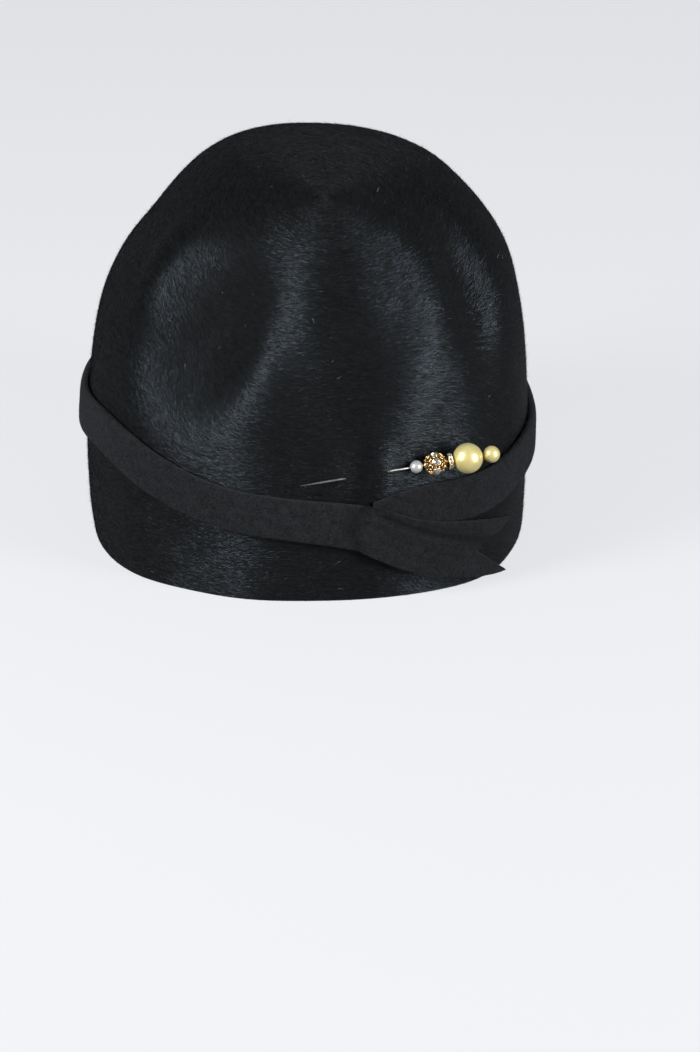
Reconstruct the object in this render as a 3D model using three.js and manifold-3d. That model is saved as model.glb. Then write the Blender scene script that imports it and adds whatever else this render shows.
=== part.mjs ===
import * as THREE from 'three';
import { ParametricGeometry } from 'three/addons/geometries/ParametricGeometry.js';
import { mergeVertices } from 'three/addons/utils/BufferGeometryUtils.js';
import Module from 'manifold-3d';

// A soft toque of long-haired fur felt, worn with a felt strip tied low round its crown and a
// pearl-headed pin at the back. It stands on its rim, with Z up. The face side is -Y, and the
// wearer's left is +X. Lengths are in millimetres, and a turn is in degrees from +X towards +Y.

// Driving dimensions of the felt body
const FELT = 2.6;
const RIM_CORNER = 2.4;
const TIP_CORNER = 2.1;
const CORNER_FADE_START = 0.4;
const AROUND = 66;
const OUTSIDE_STEPS = 28;
const INSIDE_STEPS = 20;

// Horizontal sections of the crown, from the rim to the tip: half-widths each way from the axis
const CROWN_ROWS = [
  { height: 0.0, left: 83.2, right: 85.2, back: 100.5, front: 100.5 },
  { height: 12.8, left: 84.5, right: 85.8, back: 100.8, front: 100.8 },
  { height: 33.0, left: 84.9, right: 86.2, back: 100.8, front: 100.8 },
  { height: 53.2, left: 83.6, right: 86.0, back: 99.9, front: 99.9 },
  { height: 73.3, left: 81.4, right: 84.7, back: 97.2, front: 97.2 },
  { height: 89.8, left: 77.5, right: 82.3, back: 92.6, front: 92.6 },
  { height: 104.5, left: 70.2, right: 78.5, back: 85.2, front: 85.2 },
  { height: 117.3, left: 60.1, right: 71.3, back: 76.1, front: 75.2 },
  { height: 129.7, left: 50.2, right: 60.9, back: 64.6, front: 63.2 },
  { height: 139.3, left: 40.5, right: 50.0, back: 52.2, front: 50.4 },
  { height: 145.8, left: 29.3, right: 35.8, back: 37.1, front: 36.7 },
  { height: 149.6, left: 14.7, right: 18.3, back: 18.3, front: 18.3 },
  { height: 150.5, left: 0.0, right: 0.0, back: 0.0, front: 0.0 },
];

// Dents and swells pressed in the soft felt. A negative depth swells outwards. Wide and tall are
// the half-sizes, lean turns the dent about its own middle, and edge sharpens its border.
const DENTS = [
  { name: 'back column', turn: 105, height: 104, wide: 28, tall: 46, depth: -2.8, lean: 0, edge: 2.6 },
  { name: 'left shoulder', turn: 46, height: 117, wide: 10, tall: 16, depth: -3.4, lean: 0, edge: 1.3 },
  { name: 'left hollow', turn: 63.5, height: 101, wide: 22, tall: 33, depth: 10, lean: 0, edge: 1.4 },
  { name: 'left skirt', turn: 64, height: 22, wide: 20, tall: 38, depth: 2.6, lean: 0, edge: 1.1 },
  { name: 'right skirt', turn: 129, height: 2, wide: 24, tall: 24, depth: -2.9, lean: 0, edge: 1 },
  { name: 'right fold', turn: 137, height: 107, wide: 11.5, tall: 27, depth: 8.5, lean: -10, edge: 1.1 },
  { name: 'right hollow', turn: 113, height: 112, wide: 13, tall: 26, depth: 2.2, lean: 0, edge: 1 },
  { name: 'top dish', turn: 102.5, height: 144, wide: 24, tall: 28, depth: 4.2, lean: 0, edge: 1.1 },
  { name: 'felt over pin', turn: 102.6, height: 48.5, wide: 10, tall: 13, depth: -2, lean: 0, edge: 1.5 },
  { name: 'bead hollow', turn: 118.5, height: 51.5, wide: 14, tall: 16.5, depth: 1.6, lean: 0, edge: 1 },
];
const DENT_REACH = 64;

// The felt strip, from its start under the knot, once round the crown, over the knot and on to
// its forked tail. Height is that of its middle, and lift is the gap behind it.
const STRIP_ROWS = [
  { turn: 103.6, height: 35.4, lift: 0.6, width: 6.4, thick: 1.3 },
  { turn: 107.0, height: 35.0, lift: 0.6, width: 10.6, thick: 1.8 },
  { turn: 111.5, height: 34.6, lift: 0.6, width: 13.8, thick: 2.6 },
  { turn: 117.0, height: 34.5, lift: 0.6, width: 15.0, thick: 3.0 },
  { turn: 124.0, height: 34.1, lift: 0.6, width: 15.4, thick: 3.1 },
  { turn: 132.0, height: 34.5, lift: 0.6, width: 15.4, thick: 3.1 },
  { turn: 141.0, height: 36.5, lift: 0.6, width: 15.4, thick: 3.1 },
  { turn: 152.0, height: 38.1, lift: 0.6, width: 15.4, thick: 3.1 },
  { turn: 166.0, height: 38.3, lift: 0.6, width: 15.4, thick: 3.1 },
  { turn: 182.0, height: 37.6, lift: 0.6, width: 15.4, thick: 3.1 },
  { turn: 200.0, height: 37.9, lift: 0.6, width: 15.4, thick: 3.1 },
  { turn: 220.0, height: 39.0, lift: 0.6, width: 15.4, thick: 3.1 },
  { turn: 240.0, height: 40.5, lift: 0.6, width: 15.4, thick: 3.1 },
  { turn: 260.0, height: 42.0, lift: 0.6, width: 15.4, thick: 3.1 },
  { turn: 280.0, height: 43.3, lift: 0.6, width: 15.4, thick: 3.1 },
  { turn: 300.0, height: 44.4, lift: 0.6, width: 15.4, thick: 3.1 },
  { turn: 320.0, height: 45.3, lift: 0.6, width: 15.4, thick: 3.1 },
  { turn: 340.0, height: 46.4, lift: 0.6, width: 15.4, thick: 3.1 },
  { turn: 358.0, height: 48.0, lift: 0.6, width: 15.4, thick: 3.1 },
  { turn: 374.0, height: 50.0, lift: 0.6, width: 15.4, thick: 3.1 },
  { turn: 388.0, height: 51.9, lift: 0.6, width: 15.4, thick: 3.1 },
  { turn: 399.0, height: 52.1, lift: 0.6, width: 15.4, thick: 3.1 },
  { turn: 408.0, height: 49.1, lift: 0.6, width: 15.4, thick: 3.1 },
  { turn: 417.0, height: 43.6, lift: 0.6, width: 15.4, thick: 3.1 },
  { turn: 426.0, height: 38.5, lift: 0.6, width: 15.4, thick: 3.1 },
  { turn: 435.0, height: 35.2, lift: 0.6, width: 15.4, thick: 3.1 },
  { turn: 444.0, height: 33.2, lift: 0.6, width: 15.4, thick: 3.1 },
  { turn: 452.0, height: 31.5, lift: 0.7, width: 15.9, thick: 3.1 },
  { turn: 458.0, height: 30.2, lift: 1.1, width: 16.7, thick: 3.1 },
  { turn: 462.0, height: 28.8, lift: 2.0, width: 17.6, thick: 3.0 },
  { turn: 466.0, height: 25.7, lift: 2.7, width: 18.5, thick: 2.9 },
  { turn: 470.5, height: 22.0, lift: 3.3, width: 19.4, thick: 2.8 },
  { turn: 476.0, height: 18.7, lift: 3.9, width: 20.5, thick: 2.7 },
  { turn: 482.5, height: 15.9, lift: 3.3, width: 21.3, thick: 2.5 },
  { turn: 489.5, height: 13.2, lift: 2.8, width: 21.3, thick: 2.3 },
  { turn: 496.5, height: 10.6, lift: 2.4, width: 20.5, thick: 2.2 },
];
const STEPS_PER_STRIP_ROW = 3;
const STRIP_SIDES = 16;
const STRIP_EDGE = 5;
const CREASE = { turn: 461.6, half: 1.4, depth: 1.4 };
const FORK = { across: 0.47, turn: 12.5, start: 476 };

// The pin and its beads, by their distance from the pin's point
const PIN_POINT = new THREE.Vector3(2.1, 103.6, 46.0);
const PIN_END = new THREE.Vector3(-66.5, 91.1, 53.1);
const PIN_RADIUS = 0.4;
const PIN_TAPER = 8;
const PIN_LENGTH = 71.1;
const PIN_ROOM = 0.3;
const PIN_CHANNEL_END = 46;
const CHANNEL_SIDES = 12;
const BEAD_SIDES = 24;
const BEAD_STEPS = 12;
const SMALL_PEARL = { at: 42.8, radius: 2.3 };
const STONE_BALL = { at: 49.75, radius: 4.35 };
const SPACER = { at: 55.25, radius: 3.1, half: 0.85, round: 0.4 };
const LARGE_PEARL = { at: 61.9, radius: 5.5 };
const END_PEARL = { at: 70.75, radius: 3.05, bore: 71.4 };

// Where the middle of the bounding box lies, so that the origin can be set under it
const BOX_MIDDLE = { x: -0.903, y: 0.175 };

// How finely curves are worked out
const HALVINGS = 40;
const ROW_STEP = 0.02;
const STRIP_TURN_STEP = 0.5;
const LEAST_HALF_WIDTH = 1e-6;
const MERGE_DISTANCE = 1e-3;

const wasm = await Module();
wasm.setup();

const radians = THREE.MathUtils.degToRad;
const lastCrownRow = CROWN_ROWS.length - 1;
const lastStripRow = STRIP_ROWS.length - 1;

// A smooth curve through one column of a table, at a fractional row number
function alongRows(rows, column, at) {
  const last = rows.length - 1;
  const row = Math.min(Math.max(Math.floor(at), 0), last - 1);
  const here = rows[row][column];
  const next = rows[row + 1][column];
  const before = row > 0 ? rows[row - 1][column] : 2 * here - next;
  const after = row + 2 <= last ? rows[row + 2][column] : 2 * next - here;
  const part = at - row;
  const slopeHere = (next - before) / 2;
  const slopeNext = (after - here) / 2;
  const square = part * part;
  const cube = square * part;
  return (
    (2 * cube - 3 * square + 1) * here +
    (cube - 2 * square + part) * slopeHere +
    (3 * square - 2 * cube) * next +
    (cube - square) * slopeNext
  );
}

// The fractional row number at which a rising column reaches a value
function rowWhere(rows, column, value) {
  let low = 0;
  let high = rows.length - 1;
  for (let halving = 0; halving < HALVINGS; halving += 1) {
    const middle = (low + high) / 2;
    if (alongRows(rows, column, middle) < value) {
      low = middle;
    } else {
      high = middle;
    }
  }
  return (low + high) / 2;
}

// The crown before any dent: each section is a rounded oblong, |x/a|^n + |y/b|^n = 1, with its
// own half-width on each of its four sides
function plainCrown(turn, row) {
  const across = Math.cos(radians(turn));
  const along = Math.sin(radians(turn));
  const halfAcross = alongRows(CROWN_ROWS, across >= 0 ? 'left' : 'right', row);
  const halfAlong = alongRows(CROWN_ROWS, along >= 0 ? 'back' : 'front', row);
  const share = row / lastCrownRow;
  const fade = THREE.MathUtils.clamp((share - CORNER_FADE_START) / (1 - CORNER_FADE_START), 0, 1);
  const corner = THREE.MathUtils.lerp(RIM_CORNER, TIP_CORNER, fade);
  const sum =
    Math.abs(across / Math.max(halfAcross, LEAST_HALF_WIDTH)) ** corner +
    Math.abs(along / Math.max(halfAlong, LEAST_HALF_WIDTH)) ** corner;
  const radius = sum ** (-1 / corner);
  return new THREE.Vector3(radius * across, radius * along, alongRows(CROWN_ROWS, 'height', row));
}

// The sideways, upward and outward directions of a surface at a turn and row
function directionsOn(surface, turn, row) {
  const sideways = surface(turn + ROW_STEP, row).sub(surface(turn - ROW_STEP, row)).normalize();
  const upwards = surface(turn, row + ROW_STEP).sub(surface(turn, row - ROW_STEP));
  const outwards = new THREE.Vector3().crossVectors(sideways, upwards).normalize();
  upwards.crossVectors(outwards, sideways);
  return { sideways, upwards, outwards };
}

const placedDents = DENTS.map((dent) => {
  const row = rowWhere(CROWN_ROWS, 'height', dent.height);
  const { sideways, upwards, outwards } = directionsOn(plainCrown, dent.turn, row);
  sideways.applyAxisAngle(outwards, radians(dent.lean));
  upwards.applyAxisAngle(outwards, radians(dent.lean));
  return { ...dent, middle: plainCrown(dent.turn, row), sideways, upwards, outwards };
});

// The outside of the crown: each dent moves a point inwards by depth * exp(-(distance^2)^edge),
// with the distance measured in the dent's own half-sizes
function crown(turn, row) {
  const plain = plainCrown(turn, row);
  const point = plain.clone();
  for (const dent of placedDents) {
    const from = plain.clone().sub(dent.middle);
    const distance =
      (from.dot(dent.sideways) / dent.wide) ** 2 + (from.dot(dent.upwards) / dent.tall) ** 2;
    const near = Math.exp(-((from.dot(dent.outwards) / DENT_REACH) ** 2));
    point.addScaledVector(dent.outwards, -dent.depth * near * Math.exp(-(distance ** dent.edge)));
  }
  return point;
}

// The direction from the outside into the felt: level at the rim, and straight down at the tip
function intoFelt(turn, row) {
  if (row === lastCrownRow) {
    return new THREE.Vector3(0, 0, -1);
  }
  const { outwards } = directionsOn(crown, turn, row);
  if (row === 0) {
    outwards.setZ(0);
  }
  return outwards.normalize().negate();
}

// One closed skin: down the outside from the tip to the rim, across the flat cut edge, and up
// the inside to the tip again
function feltSkin(u, v, target) {
  const turn = (360 * (Math.round((1 - u) * AROUND) % AROUND)) / AROUND;
  const step = Math.round(v * (OUTSIDE_STEPS + 1 + INSIDE_STEPS));
  const outside = step <= OUTSIDE_STEPS;
  const share = outside ? 1 - step / OUTSIDE_STEPS : (step - OUTSIDE_STEPS - 1) / INSIDE_STEPS;
  const row = lastCrownRow * share;
  target.copy(crown(turn, row));
  if (!outside) {
    target.addScaledVector(intoFelt(turn, row), FELT);
  }
  target.z = row === 0 ? 0 : target.z;
}

// How far the strip's forked end is cut back at a place across it, from 0 at its two points
function forkCut(across) {
  const side = across < FORK.across ? across / FORK.across : (1 - across) / (1 - FORK.across);
  return FORK.turn * side;
}

// The middle of the strip, on the felt under it, at a turn
function stripMiddle(turn) {
  const height = alongRows(STRIP_ROWS, 'height', rowWhere(STRIP_ROWS, 'turn', turn));
  return crown(turn, rowWhere(CROWN_ROWS, 'height', height));
}

// The strip's section is a rounded oblong, |x|^n + |y|^n = 1, laid on the crown. It closes to a
// point at each end of the strip, and a crease runs across its outside at the knot.
function stripSkin(u, v, target) {
  const steps = lastStripRow * STEPS_PER_STRIP_ROW;
  const step = Math.round(v * (steps + 2)) - 1;
  const size = step < 0 || step > steps ? 0 : 1;
  const around = (2 * Math.PI * (Math.round(u * STRIP_SIDES) % STRIP_SIDES)) / STRIP_SIDES;
  const reach = Math.abs(Math.cos(around));
  const onEdge = Math.round(u * STRIP_SIDES) % (STRIP_SIDES / 2) === 0;
  const side = onEdge ? 0 : Math.sign(Math.sin(around));
  const across = (size * Math.cos(around)) / 2;
  const out = (size * side * (1 - reach ** STRIP_EDGE) ** (1 / STRIP_EDGE)) / 2;

  const plainRow = THREE.MathUtils.clamp(step / STEPS_PER_STRIP_ROW, 0, lastStripRow);
  const endTurn = STRIP_ROWS[lastStripRow].turn;
  const plainTurn = alongRows(STRIP_ROWS, 'turn', plainRow);
  const late = THREE.MathUtils.clamp((plainTurn - FORK.start) / (endTurn - FORK.start), 0, 1);
  const turn = plainTurn - late * forkCut(across + 0.5);
  const row = rowWhere(STRIP_ROWS, 'turn', turn);
  const value = (column) => alongRows(STRIP_ROWS, column, row);

  const { outwards } = directionsOn(crown, turn, rowWhere(CROWN_ROWS, 'height', value('height')));
  const ahead = stripMiddle(Math.min(turn + STRIP_TURN_STEP, endTurn));
  const forwards = ahead.sub(stripMiddle(turn - STRIP_TURN_STEP)).normalize();
  const upwards = new THREE.Vector3().crossVectors(outwards, forwards).normalize();
  const crease = CREASE.depth * Math.exp(-(((turn - CREASE.turn) / CREASE.half) ** 2));
  const thick = value('thick') - (out > 0 ? crease : 0);
  target.copy(stripMiddle(turn));
  target.addScaledVector(outwards, value('lift') + value('thick') / 2 + out * thick);
  target.addScaledVector(upwards, across * value('width'));
}

function makeSolid(geometry) {
  const bare = geometry.clone();
  bare.deleteAttribute('normal');
  bare.deleteAttribute('uv');
  const merged = mergeVertices(bare, MERGE_DISTANCE);
  const vertProperties = new Float32Array(merged.attributes.position.array);
  const triVerts = new Uint32Array(merged.index.array);
  return new wasm.Manifold(new wasm.Mesh({ numProp: 3, vertProperties, triVerts }));
}

function makeGeometry(solid) {
  const mesh = solid.getMesh();
  const geometry = new THREE.BufferGeometry();
  geometry.setAttribute('position', new THREE.BufferAttribute(mesh.vertProperties, 3));
  geometry.setIndex(new THREE.BufferAttribute(mesh.triVerts, 1));
  geometry.computeVertexNormals();
  return geometry;
}

const toque = new THREE.Group();
toque.position.set(-BOX_MIDDLE.x, -BOX_MIDDLE.y, 0);

const furFelt = { color: 0x17181c, roughness: 0.9, metalness: 0 };
const stripFelt = { color: 0x1d1d21, roughness: 0.95, metalness: 0 };
const steel = { color: 0xc9c9c6, roughness: 0.25, metalness: 1 };
const gold = { color: 0xd9a24a, roughness: 0.25, metalness: 1 };
const whitePearl = { color: 0xe9e9ee, roughness: 0.25, metalness: 0 };
const creamPearl = { color: 0xe8dba4, roughness: 0.2, metalness: 0 };

function addPart(parent, name, geometry, finish) {
  const mesh = new THREE.Mesh(geometry, new THREE.MeshStandardMaterial(finish));
  mesh.name = name;
  parent.add(mesh);
  return mesh;
}

// Everything on the pin is turned about the pin's own axis, with the pin's point at its start
const pinGroup = new THREE.Group();
const pinAxis = PIN_END.clone().sub(PIN_POINT).normalize();
pinGroup.position.copy(PIN_POINT);
pinGroup.quaternion.setFromUnitVectors(new THREE.Vector3(0, 1, 0), pinAxis);
toque.add(pinGroup);
pinGroup.updateMatrix();

// The felt body, with the slanting hole that the pin makes where it goes in and out of the felt
const bodySkin = new ParametricGeometry(feltSkin, AROUND, OUTSIDE_STEPS + 1 + INSIDE_STEPS);
const channel = new THREE.CylinderGeometry(
  PIN_RADIUS + PIN_ROOM,
  PIN_RADIUS + PIN_ROOM,
  PIN_CHANNEL_END,
  CHANNEL_SIDES,
);
channel.translate(0, PIN_CHANNEL_END / 2, 0);
channel.applyMatrix4(pinGroup.matrix);
addPart(toque, 'hat_body', makeGeometry(makeSolid(bodySkin).subtract(makeSolid(channel))), furFelt);

// The felt strip, in one length from its hidden start to its forked tail
const stripSteps = lastStripRow * STEPS_PER_STRIP_ROW + 2;
addPart(toque, 'felt_band', new ParametricGeometry(stripSkin, STRIP_SIDES, stripSteps), stripFelt);

// The steel pin, with a tapered point
const pinProfile = [
  new THREE.Vector2(0, 0),
  new THREE.Vector2(PIN_RADIUS, PIN_TAPER),
  new THREE.Vector2(PIN_RADIUS, PIN_LENGTH),
  new THREE.Vector2(0, PIN_LENGTH),
];
addPart(pinGroup, 'pin_shaft', new THREE.LatheGeometry(pinProfile, CHANNEL_SIDES), steel);

// Points on a bead's round outside, from the bore at one end to a given angle at the other
function beadArc(radius, startAngle, endAngle) {
  const points = [];
  for (let step = 0; step <= BEAD_STEPS; step += 1) {
    const angle = THREE.MathUtils.lerp(startAngle, endAngle, step / BEAD_STEPS);
    points.push(new THREE.Vector2(radius * Math.cos(angle), radius * Math.sin(angle)));
  }
  return points;
}

// A bead drilled right through
function drilledBead(radius) {
  const bore = PIN_RADIUS + PIN_ROOM;
  const edge = Math.acos(bore / radius);
  const points = beadArc(radius, -edge, edge);
  points.push(points[0].clone());
  return new THREE.LatheGeometry(points, BEAD_SIDES);
}

// A bead drilled part of the way, to cap the pin's end
function cappingBead(radius, boreDepth) {
  const bore = PIN_RADIUS + PIN_ROOM;
  const edge = Math.acos(bore / radius);
  const points = beadArc(radius, -edge, Math.PI / 2);
  points[BEAD_STEPS].x = 0;
  points.unshift(new THREE.Vector2(0, boreDepth), new THREE.Vector2(bore, boreDepth));
  return new THREE.LatheGeometry(points, BEAD_SIDES);
}

// A flat ring with rounded edges
function spacerRing(radius, half, round) {
  const bore = PIN_RADIUS + PIN_ROOM;
  const points = [
    new THREE.Vector2(bore, -half),
    new THREE.Vector2(radius - round, -half),
    new THREE.Vector2(radius, -half + round),
    new THREE.Vector2(radius, half - round),
    new THREE.Vector2(radius - round, half),
    new THREE.Vector2(bore, half),
    new THREE.Vector2(bore, -half),
  ];
  return new THREE.LatheGeometry(points, BEAD_SIDES);
}

function addBead(name, bead, geometry, finish) {
  addPart(pinGroup, name, geometry, finish).position.y = bead.at;
}

addBead('pearl_small', SMALL_PEARL, drilledBead(SMALL_PEARL.radius), whitePearl);
addBead('stone_ball', STONE_BALL, drilledBead(STONE_BALL.radius), gold);
addBead('stone_spacer', SPACER, spacerRing(SPACER.radius, SPACER.half, SPACER.round), gold);
addBead('pearl_large', LARGE_PEARL, drilledBead(LARGE_PEARL.radius), creamPearl);
const capDepth = END_PEARL.bore - END_PEARL.at;
addBead('pearl_end', END_PEARL, cappingBead(END_PEARL.radius, capDepth), creamPearl);

export default toque;
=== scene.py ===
import bpy
import numpy as np
from mathutils import Matrix, Vector


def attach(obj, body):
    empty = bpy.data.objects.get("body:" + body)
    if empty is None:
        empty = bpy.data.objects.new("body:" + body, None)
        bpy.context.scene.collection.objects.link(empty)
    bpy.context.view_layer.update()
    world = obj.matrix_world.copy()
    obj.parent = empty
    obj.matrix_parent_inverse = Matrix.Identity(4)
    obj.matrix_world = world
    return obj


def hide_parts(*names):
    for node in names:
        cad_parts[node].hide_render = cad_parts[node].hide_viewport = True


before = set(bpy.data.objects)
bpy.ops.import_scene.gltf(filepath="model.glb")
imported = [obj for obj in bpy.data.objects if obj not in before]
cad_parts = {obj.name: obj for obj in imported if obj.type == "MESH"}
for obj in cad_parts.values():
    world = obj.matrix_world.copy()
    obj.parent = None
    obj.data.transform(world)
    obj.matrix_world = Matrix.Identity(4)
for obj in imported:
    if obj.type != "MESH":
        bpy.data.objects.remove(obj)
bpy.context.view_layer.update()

# The moulded crown
#
# A deep soft crown, blocked in one piece from long-haired fur felt and open below. The felt is
# 2.6 mm thick with its hairs' roots, its edge is cut clean, and dents were pressed in by hand.
# Lengths here are in millimetres, and a turn is in degrees from the wearer's left towards the back.
FELT = 2.6
CUT_EDGE_ROUND = 0.8
RIM_CORNER = 2.4
TIP_CORNER = 2.1
CORNER_FADE_START = 0.4
CROWN_AROUND = 288
CROWN_OUTSIDE = 150
CROWN_EDGE = 8
CROWN_INSIDE = 40
STEP = 0.02
MILLIMETRE = 0.001
BOX_MIDDLE = np.array([-0.903, 0.175, 0.0])


def table(columns, *rows):
    """A table as one array for each named column."""
    return {name: np.array(values) for name, values in zip(columns.split(), zip(*rows))}


CROWN_ROWS = table(
    "height left right back front",
    (0.0, 83.2, 85.2, 100.5, 100.5),
    (12.8, 84.5, 85.8, 100.8, 100.8),
    (33.0, 84.9, 86.2, 100.8, 100.8),
    (53.2, 83.6, 86.0, 99.9, 99.9),
    (73.3, 81.4, 84.7, 97.2, 97.2),
    (89.8, 77.5, 82.3, 92.6, 92.6),
    (104.5, 70.2, 78.5, 85.2, 85.2),
    (117.3, 60.1, 71.3, 76.1, 75.2),
    (129.7, 50.2, 60.9, 64.6, 63.2),
    (139.3, 40.5, 50.0, 52.2, 50.4),
    (145.8, 29.3, 35.8, 37.1, 36.7),
    (149.6, 14.7, 18.3, 18.3, 18.3),
    (150.5, 0.0, 0.0, 0.0, 0.0),
)
DENTS = table(
    "name turn height wide tall depth lean edge",
    ("back column", 105, 104, 28, 46, -2.8, 0, 2.6),
    ("left shoulder", 46, 117, 10, 16, -3.4, 0, 1.3),
    ("left hollow", 63.5, 101, 22, 33, 10, 0, 1.4),
    ("left skirt", 64, 22, 20, 38, 2.6, 0, 1.1),
    ("right skirt", 129, 2, 24, 24, -2.9, 0, 1),
    ("right fold", 137, 107, 11.5, 27, 8.5, -10, 1.1),
    ("right hollow", 113, 112, 13, 26, 2.2, 0, 1),
    ("top dish", 102.5, 144, 24, 28, 4.2, 0, 1.1),
    ("felt over pin", 102.6, 48.5, 10, 13, -2, 0, 1.5),
    ("bead hollow", 118.5, 51.5, 14, 16.5, 1.6, 0, 1),
)
DENT_REACH = 64
LAST_ROW = len(CROWN_ROWS["height"]) - 1


def along_rows(rows, column, at):
    """One column as a smooth curve, read at a fractional row: a cubic runs from each row to the
    next, and its slope at a row is half the difference of that row's two neighbours."""
    values = rows[column]
    slopes = np.gradient(values.astype(float))
    row = np.clip(np.floor(at).astype(int), 0, len(values) - 2)
    part = at - row
    square, cube = part**2, part**3
    return (
        (2 * cube - 3 * square + 1) * values[row]
        + (cube - 2 * square + part) * slopes[row]
        + (3 * square - 2 * cube) * values[row + 1]
        + (cube - square) * slopes[row + 1]
    )


def row_where(rows, column, value):
    """The fractional row at which a rising column reaches a value, by halving the span."""
    low = np.zeros(np.shape(value))
    high = low + len(rows[column]) - 1
    for _ in range(30):
        middle = (low + high) / 2
        short = along_rows(rows, column, middle) < value
        low, high = np.where(short, middle, low), np.where(short, high, middle)
    return (low + high) / 2


def unit(vectors):
    """Each vector divided by its own length."""
    return vectors / np.maximum(np.linalg.norm(vectors, axis=-1, keepdims=True), 1e-12)


def plain_crown(turn, row):
    """Each section is a rounded oblong, |x/a|^n + |y/b|^n = 1, with its own half-width on each
    side. n fades from the rim's corner to the tip's."""
    turn, row = np.broadcast_arrays(turn, row)
    across, along = np.cos(np.radians(turn)), np.sin(np.radians(turn))
    left, right = (along_rows(CROWN_ROWS, side, row) for side in ("left", "right"))
    back, front = (along_rows(CROWN_ROWS, side, row) for side in ("back", "front"))
    fade = np.clip((row / LAST_ROW - CORNER_FADE_START) / (1 - CORNER_FADE_START), 0, 1)
    corner = RIM_CORNER + (TIP_CORNER - RIM_CORNER) * fade
    across_share = np.abs(across / np.maximum(np.where(across >= 0, left, right), 1e-6))
    along_share = np.abs(along / np.maximum(np.where(along >= 0, back, front), 1e-6))
    radius = (across_share**corner + along_share**corner) ** (-1 / corner)
    return np.stack([radius * across, radius * along, along_rows(CROWN_ROWS, "height", row)], -1)


def directions_on(surface, turn, row):
    """The sideways, upward and outward directions, from the surface a small step either way."""
    sideways = unit(surface(turn + STEP, row) - surface(turn - STEP, row))
    upwards = surface(turn, row + STEP) - surface(turn, row - STEP)
    outwards = unit(np.cross(sideways, upwards))
    return sideways, np.cross(outwards, sideways), outwards


dent_rows = row_where(CROWN_ROWS, "height", DENTS["height"])
dent_middles = plain_crown(DENTS["turn"], dent_rows)
dent_sideways, dent_upwards, dent_outwards = directions_on(plain_crown, DENTS["turn"], dent_rows)
lean = np.radians(DENTS["lean"])[:, None]
dent_sideways, dent_upwards = (
    dent_sideways * np.cos(lean) + dent_upwards * np.sin(lean),
    dent_upwards * np.cos(lean) - dent_sideways * np.sin(lean),
)


def crown(turn, row):
    """The plain crown, moved inwards at each dent by depth * exp(-(distance^2)^edge), with the
    distance measured in the dent's own half-sizes."""
    plain = plain_crown(turn, row)
    point = plain.copy()
    for dent in range(len(DENTS["name"])):
        away = plain - dent_middles[dent]
        distance = (away @ dent_sideways[dent] / DENTS["wide"][dent]) ** 2 + (
            away @ dent_upwards[dent] / DENTS["tall"][dent]
        ) ** 2
        near = np.exp(-((away @ dent_outwards[dent] / DENT_REACH) ** 2))
        press = DENTS["depth"][dent] * near * np.exp(-(distance ** DENTS["edge"][dent]))
        point -= press[..., None] * dent_outwards[dent]
    return point


def new_piece(name, points, *faces):
    """A mesh from its points in millimetres and arrays of faces with equal corner counts."""
    mesh = bpy.data.meshes.new(name)
    counts = np.concatenate([np.full(len(group), group.shape[1]) for group in faces])
    corners = np.concatenate([group.ravel() for group in faces])
    mesh.vertices.add(len(points))
    mesh.vertices.foreach_set("co", ((points - BOX_MIDDLE) * MILLIMETRE).ravel())
    mesh.loops.add(len(corners))
    mesh.loops.foreach_set("vertex_index", corners.astype(np.int32))
    mesh.polygons.add(len(counts))
    mesh.polygons.foreach_set("loop_start", np.cumsum(counts) - counts)
    mesh.update(calc_edges=True)
    mesh.shade_smooth()
    piece = bpy.data.objects.new(name, mesh)
    bpy.context.scene.collection.objects.link(piece)
    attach(piece, "root")
    return piece


def closed_skin(rings, first, last):
    """The points and faces of a closed skin: rings of points, joined one to the next, with a fan
    of triangles to a single point before the first ring and after the last. Faces look outwards,
    so they are turned round where the volume they enclose comes out below nothing."""
    count, around = rings.shape[:2]
    ring, place = np.meshgrid(np.arange(count - 1), np.arange(around), indexing="ij")
    here = ring * around + place
    there = ring * around + (place + 1) % around
    quads = np.stack([here, there, there + around, here + around], -1).reshape(-1, 4)
    place = np.arange(around)
    after = (place + 1) % around
    low = np.stack([np.full(around, count * around), after, place], -1)
    top = (count - 1) * around
    high = np.stack([np.full(around, count * around + 1), top + place, top + after], -1)
    points = np.concatenate([rings.reshape(-1, 3), [first, last]])
    flat = np.concatenate([quads[:, [0, 1, 2]], quads[:, [0, 2, 3]], low, high])
    a, b, c = (points[flat[:, corner]] - points[0] for corner in range(3))
    if np.sum(a * np.cross(b, c)) < 0:
        quads, low, high = quads[:, ::-1], low[:, ::-1], high[:, ::-1]
    return points, quads, np.concatenate([low, high])


turns = np.arange(CROWN_AROUND)[None, :] * 360 / CROWN_AROUND
edge_row = row_where(CROWN_ROWS, "height", np.array(CUT_EDGE_ROUND))
outside_rows = np.linspace(LAST_ROW, edge_row, CROWN_OUTSIDE + 1)[1:, None]
inside_rows = np.linspace(edge_row, LAST_ROW, CROWN_INSIDE + 1)[:-1, None]
outside = crown(turns, outside_rows)
inside = crown(turns, inside_rows) - FELT * directions_on(crown, turns, inside_rows)[2]
inside[0, :, 2] = CUT_EDGE_ROUND
sweep = np.linspace(0, np.pi, CROWN_EDGE + 2)[1:-1, None, None]
through = 0.5 - 0.5 * np.sign(np.cos(sweep)) * np.sqrt(np.abs(np.cos(sweep)))
cut_edge = outside[-1:] * (1 - through) + inside[:1] * through
cut_edge[..., 2:] = CUT_EDGE_ROUND * (1 - np.sqrt(np.sin(sweep)))
crown_tip = crown(np.array(0.0), np.array(float(LAST_ROW)))
crown_skin = closed_skin(
    np.concatenate([outside, cut_edge, inside]), crown_tip, crown_tip - [0, 0, FELT]
)
fur_felt_crown = new_piece("fur_felt_crown", *crown_skin)
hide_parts("hat_body")

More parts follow.
